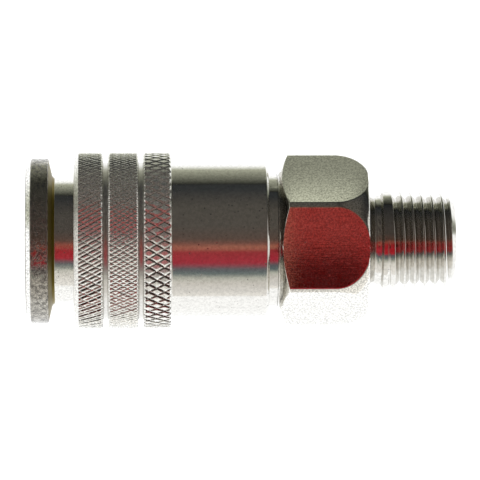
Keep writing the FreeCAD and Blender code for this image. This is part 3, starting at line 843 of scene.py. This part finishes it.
def hex_profile():
    """The turned outline from the hexagon's front face to the plain neck behind it. The rows are spaced
    evenly in the half angle that a flat takes up, so that the flats' outlines are smooth."""
    widest = math.acos(HEX_APOTHEM / HEX_TURNED_RADIUS)
    edge = math.acos(HEX_APOTHEM / HEX_EDGE_RADIUS)
    rise = (HEX_CHAMFER_END - HEX_START) / (HEX_TURNED_RADIUS - HEX_FACE_RADIUS)
    rows = [(HEX_START, COLLAR_RADIUS + 0.05), (HEX_START, HEX_FACE_RADIUS - 0.08)]
    rows.append((HEX_START + 0.03, HEX_FACE_RADIUS + 0.01))
    for k in range(CHAMFER_STEPS + 1):
        radius = HEX_APOTHEM / math.cos(widest * k / CHAMFER_STEPS)
        rows.append((HEX_START + (radius - HEX_FACE_RADIUS) * rise, radius))
    length = HEX_ROUND_START - HEX_CHAMFER_END
    for share in (0.012, 0.04, 0.3, 0.6, 0.95):
        rows.append((HEX_CHAMFER_END + length * share, HEX_TURNED_RADIUS))
    chord = Vector((HEX_END - HEX_ROUND_START, HEX_EDGE_RADIUS - HEX_TURNED_RADIUS))
    inward = Vector((chord.y, -chord.x)).normalized()
    middle = Vector((HEX_ROUND_START, HEX_TURNED_RADIUS)) + chord / 2
    centre = middle + inward * math.sqrt(HEX_ROUND_RADIUS**2 - (chord.length / 2) ** 2)
    first = math.atan2(HEX_TURNED_RADIUS - centre.y, HEX_ROUND_START - centre.x)
    last = math.atan2(HEX_EDGE_RADIUS - centre.y, HEX_END - centre.x)
    for k in range(ROUND_STEPS + 1):
        angle = first + (last - first) * k / ROUND_STEPS
        x = centre.x + HEX_ROUND_RADIUS * math.cos(angle)
        rows.append((x, centre.y + HEX_ROUND_RADIUS * math.sin(angle)))
    slope = (BOSS_START - HEX_END) / (HEX_EDGE_RADIUS - BOSS_RADIUS)
    for k in range(1, BACK_STEPS + 1):
        radius = HEX_APOTHEM / math.cos(edge * (1 - k / BACK_STEPS))
        rows.append((HEX_END + (HEX_EDGE_RADIUS - radius) * slope, radius))
    rows += [
        (BOSS_START - 0.04, BOSS_RADIUS + 0.5),
        (BOSS_START, BOSS_RADIUS + 0.06),
        (BOSS_START + 0.04, BOSS_RADIUS - 0.03),
        (RELIEF_START - 0.06, RELIEF_RADIUS + 0.06),
        (RELIEF_START, RELIEF_RADIUS + 0.015),
        (RELIEF_START + 0.06, RELIEF_RADIUS),
        (RELIEF_START + 0.3, RELIEF_RADIUS),
    ]
    return rows


def thread_radius(x, angles):
    """Radius of the threaded end: a tapered crest, a V groove that runs out at the big end, two chamfers."""
    crest = TIP_RADIUS + THREAD_TAPER * (ADAPTER_END - x)
    turn = (x - FIRST_GROOVE) / THREAD_PITCH - angles / FULL_TURN
    number = np.round(turn)
    across = np.abs(turn - number) * THREAD_PITCH
    begun = smooth_step(0.0, RUN_OUT_TURNS, number + angles / FULL_TURN)
    cut = THREAD_DEPTH * begun - np.maximum(across - THREAD_ROOT / 2, 0) * FLANK_SLOPE
    radius = crest - soft_max(cut, 0, THREAD_BLEND) * (begun > 0)
    tip = TIP_RADIUS + THREAD_TAPER * TIP_CHAMFER - (x - ADAPTER_END + TIP_CHAMFER)
    start = RELIEF_RADIUS + (x - THREAD_START) / BIG_END_CHAMFER * BIG_END_RISE
    return np.minimum(np.minimum(radius, tip), start)


def thread_rings(skin, angles):
    """Rows that wind along the thread, cut off square at its two ends. Returns the first and last ring."""
    shares = sorted({-s for s in THREAD_ROWS} | set(THREAD_ROWS) | set(CREST_ROWS))
    turns = int((ADAPTER_END - FIRST_GROOVE) / THREAD_PITCH) + SPARE_TURNS
    rows = [number + share for number in range(-SPARE_TURNS, turns) for share in shares]
    grid = []
    for row in rows:
        x = np.clip(FIRST_GROOVE + THREAD_PITCH * (row + angles / FULL_TURN), THREAD_START, ADAPTER_END)
        grid.append(skin.ring(x, thread_radius(x, angles), angles))
    per_turn = len(shares)
    for k in range(len(grid) - 1):
        for i in range(len(angles) - 1):
            skin.faces.append((grid[k][i], grid[k][i + 1], grid[k + 1][i + 1], grid[k + 1][i]))
        if k + per_turn + 1 < len(grid):
            last, first = grid[k][-1], grid[k + per_turn][0]
            skin.faces.append((last, first, grid[k + per_turn + 1][0], grid[k + 1][-1]))
    return grid[0], grid[-1]


def make_thread_adapter():
    angles = even_angles(THREAD_COLUMNS)
    skin = Skin()
    front_rings = skin.rings(collar_profile(), angles)
    skin.join(front_rings)

    hexagon = [hex_ring(skin, HEX_START, COLLAR_RADIUS)]
    hexagon += [hex_ring(skin, x, radius) for x, radius in hex_profile()]
    skin.join([ring for ring, _ in hexagon])
    skin.zip_up(front_rings[-1], angles, *sorted_ring(*hexagon[0]))

    relief = skin.rings([(RELIEF_START + 0.5, RELIEF_RADIUS), (THREAD_START - 0.03, RELIEF_RADIUS)], angles)
    skin.zip_up(*sorted_ring(*hexagon[-1]), relief[0], angles)
    big_end, tip = thread_rings(skin, angles)
    skin.join([*relief, big_end])

    inside = rounded(
        [
            (ADAPTER_END, 5.37),
            (ADAPTER_END, 4.4),
            (ADAPTER_END - 0.5, AIR_BORE, 0.2),
            (ADAPTER_START + 9.8, AIR_BORE),
            (ADAPTER_START + 8.2, VALVE_ROOM),
            (ADAPTER_START + 4.6, VALVE_ROOM),
            (ADAPTER_START + 4.6, SPIGOT_RADIUS),
            (ADAPTER_START, SPIGOT_RADIUS),
        ],
        fillet=0.06,
    )
    inside = [(x, radius) for x, radius in inside if x < ADAPTER_END - 0.001 or radius < 5.2]
    inner_rings = skin.rings(inside, angles)
    skin.join([tip, *inner_rings, front_rings[0]])
    return skin.piece("thread_adapter_shell", "body", ADAPTER_PLATE, "plated_adapter", "thread_adapter")


def collar_profile():
    """The collar in front of the hexagon. Its inner corner and its last corner are left out, because the
    bore and the hexagon go on from there."""
    collar = rounded(
        [
            (ADAPTER_START, SPIGOT_RADIUS),
            (ADAPTER_START, 9.1),
            (ADAPTER_START + 0.3, COLLAR_RADIUS, 0.1),
            (HEX_START, COLLAR_RADIUS),
        ],
        fillet=0.05,
    )
    rows = []
    for x, radius in collar:
        inner_corner = x < ADAPTER_START + 0.01 and radius < 8
        if x < HEX_START - 0.2 and not inner_corner:
            rows.append((x, radius))
    return [*rows, (HEX_START - 0.15, COLLAR_RADIUS)]


def sorted_ring(ring, angles):
    """The ring's points and angles, starting at the smallest angle of the first turn."""
    turned = angles % FULL_TURN
    order = np.argsort(turned, kind="stable")
    return [ring[i] for i in order], turned[order]


# -------------------------------- springs

WIRE_SIDES = 16
STEPS_PER_TURN = 40
CLOSED_TURNS = 1.0
CLOSED_PITCH = 1.04


def make_spring(node, coil_radius, wire_radius, open_turns):
    """A compression spring with a closed turn at each end."""
    start, end = span(node)
    first, last = start + wire_radius, end - wire_radius
    turns = open_turns + 2 * CLOSED_TURNS
    count = int(turns * STEPS_PER_TURN)
    closed = 2 * wire_radius * CLOSED_PITCH
    open_pitch = (last - first - 2 * closed * CLOSED_TURNS) / open_turns
    path = []
    x = first
    for k in range(count + 1):
        turn = turns * k / count
        angle = turn * FULL_TURN
        path.append(Vector((x, -coil_radius * math.sin(angle), coil_radius * math.cos(angle))))
        at_end = turn < CLOSED_TURNS or turn >= turns - CLOSED_TURNS
        x += (closed if at_end else open_pitch) * turns / count
    work = bmesh.new()
    loops = []
    for k, centre in enumerate(path):
        along = (path[min(k + 1, count)] - path[max(k - 1, 0)]).normalized()
        outward = Vector((0, centre.y, centre.z)).normalized()
        side = along.cross(outward).normalized()
        outward = side.cross(along)
        loop = []
        for corner in range(WIRE_SIDES):
            angle = FULL_TURN * corner / WIRE_SIDES
            aim = outward * math.cos(angle) + side * math.sin(angle)
            loop.append(work.verts.new((centre + aim * wire_radius) * MM))
        loops.append(loop)
    close_tube(work, loops)
    bmesh.ops.recalc_face_normals(work, faces=work.faces)
    for face in work.faces:
        face.smooth = len(face.verts) == 4
    name = node + "_coil"
    spring = place(name, mesh_of(name, work), None, SPRING_STEEL, "spring_steel", node)
    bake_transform(spring)
    return spring


# -------------------------------- stage, light and camera

FLOOR_RADIUS = 1.4
CAMERA_PLACE = (0.0130, 0.00004, 0.63)
CAMERA_AIM = (0.0299, 0.00004, 0.0)
CAMERA_VIEW = math.radians(6.1)
CAMERA_ROLL = math.radians(-0.15)

# What the polished metal reflects: (degrees from straight up towards -Y, colour). SKY is over the middle,
# SKY_AT_ENDS past the mouth and the thread, and SKY_ASIDE is what the knurl's slanted walls see.
SKY = [
    (-180, (0.1, 0.1, 0.09)),
    (-96, (0.07, 0.075, 0.07)),
    (-91, (0.032, 0.036, 0.038)),
    (-80, (0.034, 0.038, 0.04)),
    (-64, (0.067, 0.062, 0.055)),
    (-50, (0.095, 0.086, 0.073)),
    (-22, (0.1, 0.088, 0.075)),
    (-2, (0.12, 0.08, 0.064)),
    (5, (0.22, 0.095, 0.07)),
    (10, (0.46, 0.17, 0.11)),
    (13, (0.43, 0.15, 0.1)),
    (17, (0.38, 0.035, 0.042)),
    (34, (0.46, 0.03, 0.055)),
    (38, (0.33, 0.07, 0.095)),
    (43, (0.13, 0.13, 0.15)),
    (50, (0.12, 0.17, 0.18)),
    (53, (0.25, 0.29, 0.27)),
    (57, (0.55, 0.57, 0.5)),
    (66, (0.78, 0.75, 0.7)),
    (80, (0.95, 0.93, 0.9)),
    (88, (1.12, 1.1, 1.06)),
    (180, (1.25, 1.24, 1.22)),
]
SKY_AT_ENDS = [
    (-180, (0.1, 0.1, 0.09)),
    (-96, (0.07, 0.075, 0.07)),
    (-90, (0.02, 0.022, 0.024)),
    (-50, (0.05, 0.045, 0.04)),
    (-15, (0.065, 0.052, 0.044)),
    (0, (0.1, 0.05, 0.035)),
    (6, (0.3, 0.07, 0.05)),
    (12, (0.36, 0.01, 0.015)),
    (32, (0.5, 0.015, 0.025)),
    (37, (0.14, 0.1, 0.12)),
    (43, (0.16, 0.2, 0.2)),
    (50, (0.5, 0.5, 0.43)),
    (58, (0.95, 0.92, 0.86)),
    (90, (1.15, 1.13, 1.1)),
    (180, (1.25, 1.24, 1.22)),
]
SKY_ASIDE = [
    (-180, (0.1, 0.1, 0.09)),
    (-96, (0.07, 0.075, 0.07)),
    (-91, (0.032, 0.036, 0.038)),
    (-50, (0.095, 0.086, 0.073)),
    (0, (0.12, 0.09, 0.075)),
    (12, (0.26, 0.075, 0.065)),
    (34, (0.32, 0.075, 0.07)),
    (42, (0.22, 0.2, 0.19)),
    (52, (0.5, 0.5, 0.46)),
    (62, (0.9, 0.88, 0.83)),
    (88, (1.15, 1.13, 1.09)),
    (180, (1.25, 1.24, 1.22)),
]

# What surfaces that face along the axis reflect: (height from 0 straight down to 1 straight up, colour).
SKY_END_ON = [
    (0.0, (0.9, 0.9, 0.88)),
    (0.47, (0.95, 0.95, 0.93)),
    (0.53, (1.1, 1.08, 1.04)),
    (0.8, (1.0, 0.98, 0.95)),
    (0.92, (0.35, 0.34, 0.33)),
    (1.0, (0.2, 0.2, 0.2)),
]

# Where each sky takes over, as the X part of the reflected ray's direction.
TOWARDS_MOUTH = (-0.013, -0.006)
TOWARDS_THREAD = (0.048, 0.06)
ASIDE = (0.3, 0.65)
ASIDE_SOFT = 0.15
END_ON = (0.87, 0.9)
MATT_LIGHT = (2.6, 2.6, 2.58)
BACKDROP = (1.0, 1.0, 1.0)

# What the polished metal sees of the floor, a glow. It falls off towards +Y as a painted shadow, where it
# has a brighter patch of painted light and is darker past FLOOR_DARK_FROM with painted shade.
FLOOR_LIT = (1.4, 1.42, 1.45)
FLOOR_SHADE = (1.0, 1.035, 0.82)
FLOOR_SHADE_EDGE = (0.020, 0.033)
FLOOR_SHADE_FALL = 0.0165
FLOOR_PATCH = (0.012, 0.080, 0.0)
FLOOR_PATCH_REACH = 0.026
FLOOR_PATCH_X = (0.010, 0.018)
FLOOR_PATCH_GAIN = 0.6
FLOOR_DARK_FROM = (0.021, 0.026)
FLOOR_DARK_GAIN = -0.5
FLOOR_MATT = (0.86, 0.86, 0.85, 1.0)

CARD_HEIGHT = 0.1
CARD_X = (0.0385, 0.0530)
CARD_Y = (-0.036, -0.008)
CARD_FOLD = -0.0203
CARD_FOLD_SOFT = 0.0004
CARD_RED = (0.33, 0.035, 0.03)
CARD_DEEP_RED = (0.075, 0.0, 0.0)


def ramp(graph, share, stops):
    """A colour ramp with the stops given as (place from 0 to 1, colour)."""
    made = graph.node("ShaderNodeValToRGB", Fac=share)
    elements = made.color_ramp.elements
    for index, (place_on, colour) in enumerate(stops):
        element = elements[index] if index < 2 else elements.new(place_on)
        element.position = place_on
        element.color = (*colour, 1.0)
    return made.outputs["Color"]


def turned_ramp(graph, turn, stops):
    """A colour ramp round the axis, from -180 to 180 degrees."""
    return ramp(graph, turn, [((degrees + 180) / 360, colour) for degrees, colour in stops])


def make_world():
    """Soft white light for matt surfaces, and for polished ones a room: a dark ceiling, a red and an
    orange band, and a bright window towards -Y. Past the ends of the coupler the red is deeper and the
    window wider, and to the sides the red is duller. Along the axis the room is soft white under a dark
    ceiling. The camera sees a pale backdrop."""
    world = bpy.data.worlds.new("studio")
    bpy.context.scene.world = world
    graph = Graph(world)
    along, across, up = graph.parts(graph.node("ShaderNodeTexCoord").outputs["Generated"])
    turn = graph.math("ARCTAN2", graph.times(across, -1.0), up)
    turn = graph.add_times(turn, 1 / FULL_TURN, 0.5)
    bands = turned_ramp(graph, turn, SKY)
    ends = turned_ramp(graph, turn, SKY_AT_ENDS)
    near_mouth = graph.inverse(graph.step(along, *TOWARDS_MOUTH))
    at_end = graph.math("MAXIMUM", near_mouth, graph.step(along, *TOWARDS_THREAD))
    bands = graph.mix(at_end, bands, ends)
    aside = turned_ramp(graph, turn, SKY_ASIDE)
    off_centre = graph.math("ABSOLUTE", along)
    bands = graph.mix(between(graph, off_centre, *ASIDE, soft=ASIDE_SOFT), bands, aside)
    height = graph.add_times(up, 0.5, 0.5)
    soft = ramp(graph, height, SKY_END_ON)
    room = graph.mix(graph.step(off_centre, *END_ON), bands, soft)
    seen = graph.node("ShaderNodeLightPath").outputs
    matt = graph.mix(seen["Is Camera Ray"], MATT_LIGHT, BACKDROP)
    colour = graph.mix(seen["Is Glossy Ray"], matt, room)
    light = graph.node("ShaderNodeBackground", Color=colour, Strength=1.0)
    graph.node("ShaderNodeOutputWorld", Surface=light.outputs[0])


def make_floor():
    """A plain pale floor. Reflections see it as a glow instead, which falls off behind the coupler as a
    painted shadow, with a patch of painted light and painted shade further along.
    """
    low, _ = CAD_BOX
    work = bmesh.new()
    bmesh.ops.create_circle(work, cap_ends=True, segments=96, radius=FLOOR_RADIUS)
    floor = linked("floor", mesh_of("floor", work))
    floor.location = (0.03, 0, low.z)
    material = bpy.data.materials.new("floor")
    graph = Graph(material)
    ahead, side, _ = graph.parts(graph.where())
    # Painted shadow of the coupler on the glow, towards +Y.
    shaded = graph.step(side, *FLOOR_SHADE_EDGE)
    tint = graph.mix(shaded, FLOOR_LIT, FLOOR_SHADE)
    fall = graph.math("DIVIDE", FLOOR_SHADE_FALL, graph.math("MAXIMUM", side, 0.01))
    bright = graph.add_times(shaded, graph.math("SUBTRACT", fall, 1.0), 1.0)
    aside = graph.node("ShaderNodeCombineXYZ", X=ahead, Y=side).outputs[0]
    distance = graph.vector("DISTANCE", aside, FLOOR_PATCH)
    # A patch of painted light on the glow.
    patch = graph.inverse(graph.step(distance, 0.0, FLOOR_PATCH_REACH))
    patch = graph.times(patch, between(graph, ahead, *FLOOR_PATCH_X, soft=0.004))
    bright = graph.add_times(patch, FLOOR_PATCH_GAIN, bright)
    # Painted shade on the glow past an X.
    dark = graph.times(graph.step(ahead, *FLOOR_DARK_FROM), shaded)
    bright = graph.times(bright, graph.add_times(dark, FLOOR_DARK_GAIN, 1.0))
    matt = graph.node("ShaderNodeBsdfDiffuse", Color=FLOOR_MATT)
    glow = graph.node("ShaderNodeEmission", Color=tint, Strength=bright)
    seen = graph.node("ShaderNodeLightPath").outputs["Is Glossy Ray"]
    surface = graph.node("ShaderNodeMixShader", _0=seen, _1=matt.outputs[0], _2=glow.outputs[0])
    graph.node("ShaderNodeOutputMaterial", Surface=surface.outputs[0])
    floor.data.materials.append(material)


def make_red_card():
    """A small glowing red card over the hexagon, which only reflections show. Past a line towards -Y it is a
    deeper red."""
    work = bmesh.new()
    (left, right), (far, near) = CARD_X, CARD_Y
    corners = ((left, far), (right, far), (right, near), (left, near))
    work.faces.new([work.verts.new((x, y, CARD_HEIGHT)) for x, y in corners])
    card = linked("red_card", mesh_of("red_card", work))
    material = bpy.data.materials.new("red_card")
    graph = Graph(material)
    side = graph.parts(graph.where())["Y"]
    deep = graph.inverse(graph.step(side, CARD_FOLD - CARD_FOLD_SOFT, CARD_FOLD + CARD_FOLD_SOFT))
    glow = graph.node("ShaderNodeEmission", Color=graph.mix(deep, CARD_RED, CARD_DEEP_RED))
    graph.node("ShaderNodeOutputMaterial", Surface=glow.outputs[0])
    card.data.materials.append(material)
    for seen_by in ("visible_camera", "visible_diffuse", "visible_shadow", "visible_transmission"):
        setattr(card, seen_by, False)


def make_key_light():
    """A large soft light from -Y, which the matt surfaces see."""
    light = bpy.data.lights.new("key", "AREA")
    light.shape = "DISK"
    light.size = 0.5
    light.energy = 1.0
    lamp = linked("key", light)
    lamp.location = (-0.05, -0.5, 0.55)
    lamp.rotation_euler = (Vector(CAMERA_AIM) - lamp.location).to_track_quat("-Z", "Y").to_euler()
    lamp.visible_glossy = False


def make_camera():
    camera = bpy.data.cameras.new("camera")
    camera.angle = CAMERA_VIEW
    camera.clip_start = 0.05
    camera.clip_end = 10.0
    eye = linked("camera", camera)
    eye.location = CAMERA_PLACE
    look = Vector(CAMERA_AIM) - Vector(CAMERA_PLACE)
    back = -look.normalized()
    right = Vector((0, 1, 0)).cross(back).normalized()
    up = back.cross(right)
    right, up = (right * math.cos(CAMERA_ROLL) + up * math.sin(CAMERA_ROLL),
                 up * math.cos(CAMERA_ROLL) - right * math.sin(CAMERA_ROLL))
    eye.rotation_euler = matrix_of(right, up, back).to_euler()
    bpy.context.scene.camera = eye


def matrix_of(*columns):
    return Matrix([[column[row] for column in columns] for row in range(3)])


# -------------------------------- build

for node in frame["record"]["subparts"]:
    shown = frame["nodes"][node["node"]]
    for slot in shown.material_slots:
        slot.material = CAD_FINISH[node["material_slot"]]

make_socket_body()
make_locking_sleeve()
make_thread_adapter()
make_spring("sleeve_spring", 8.95, 0.4, 4.0)
make_spring("valve_spring", 5.3, 0.3, 3.2)
make_world()
make_floor()
make_red_card()
make_key_light()
make_camera()
bpy.context.scene.view_settings.view_transform = "Standard"
